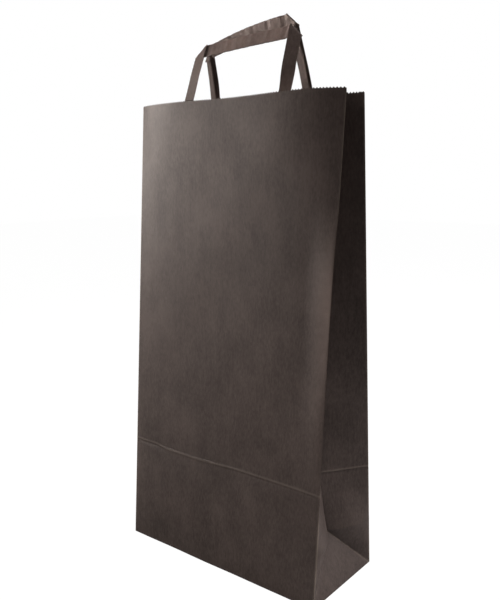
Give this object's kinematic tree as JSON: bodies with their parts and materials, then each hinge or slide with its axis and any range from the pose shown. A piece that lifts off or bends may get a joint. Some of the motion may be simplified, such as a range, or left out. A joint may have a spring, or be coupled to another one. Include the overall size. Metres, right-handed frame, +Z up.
{
  "type": "wine gift bag",
  "caption": "Tall block-bottom paper carrier for two bottles, with pleated sides, a bottom crease and folded flat tape handles.",
  "frame": {"origin": "centre of the base at the lowest face, where the bag stands", "axes": "+Z up, the front panel faces -Y, the pleated sides face -X and +X"},
  "size_m": [0.2032, 0.0892, 0.452],
  "materials": {
    "outer_paper": "satin dark brown kraft paper with faint vertical grain",
    "inner_paper": "matt uncoated inside of the same paper",
    "handle_tape": "satin folded paper tape"
  },
  "bodies": {
    "lower_box": {"bottom_front_flap": "outer_paper", "bottom_back_flap": "outer_paper", "left_end_flap": "inner_paper", "right_end_flap": "inner_paper", "front_lower_wall": "outer_paper", "back_lower_wall": "outer_paper", "left_gusset_front": "outer_paper", "left_gusset_back": "outer_paper", "right_gusset_front": "outer_paper", "right_gusset_back": "outer_paper", "left_lower_gusset_front": "outer_paper", "left_lower_gusset_back": "outer_paper", "right_lower_gusset_front": "outer_paper", "right_lower_gusset_back": "outer_paper", "left_gusset_triangle": "outer_paper", "right_gusset_triangle": "outer_paper"},
    "front_upper": {"front_panel": "outer_paper", "front_handle_left_end": "handle_tape", "front_handle_right_end": "handle_tape", "front_handle_patch": "inner_paper"},
    "back_upper": {"back_panel": "outer_paper", "seam_flap": "inner_paper", "back_handle_left_end": "handle_tape", "back_handle_right_end": "handle_tape", "back_handle_patch": "inner_paper"},
    "front_loop": {"front_handle": "handle_tape"},
    "back_loop": {"back_handle": "handle_tape"}
  },
  "joints": [
    {"name": "front_mouth", "type": "hinge", "parent": "lower_box", "child": "front_upper", "pos_m": [0, -0.03687, 0.093], "axis": [1, 0, 0], "range_deg": [0, 5.5]},
    {"name": "back_mouth", "type": "hinge", "parent": "lower_box", "child": "back_upper", "pos_m": [0, 0.03687, 0.093], "axis": [-1, 0, 0], "range_deg": [0, 5.5]},
    {"name": "front_loop_fold", "type": "hinge", "parent": "front_upper", "child": "front_loop", "pos_m": [0, -0.0246, 0.3907], "axis": [1, 0, 0], "range_deg": [0, 190]},
    {"name": "back_loop_fold", "type": "hinge", "parent": "back_upper", "child": "back_loop", "pos_m": [0, 0.0246, 0.3907], "axis": [-1, 0, 0], "range_deg": [0, 190]}
  ]
}
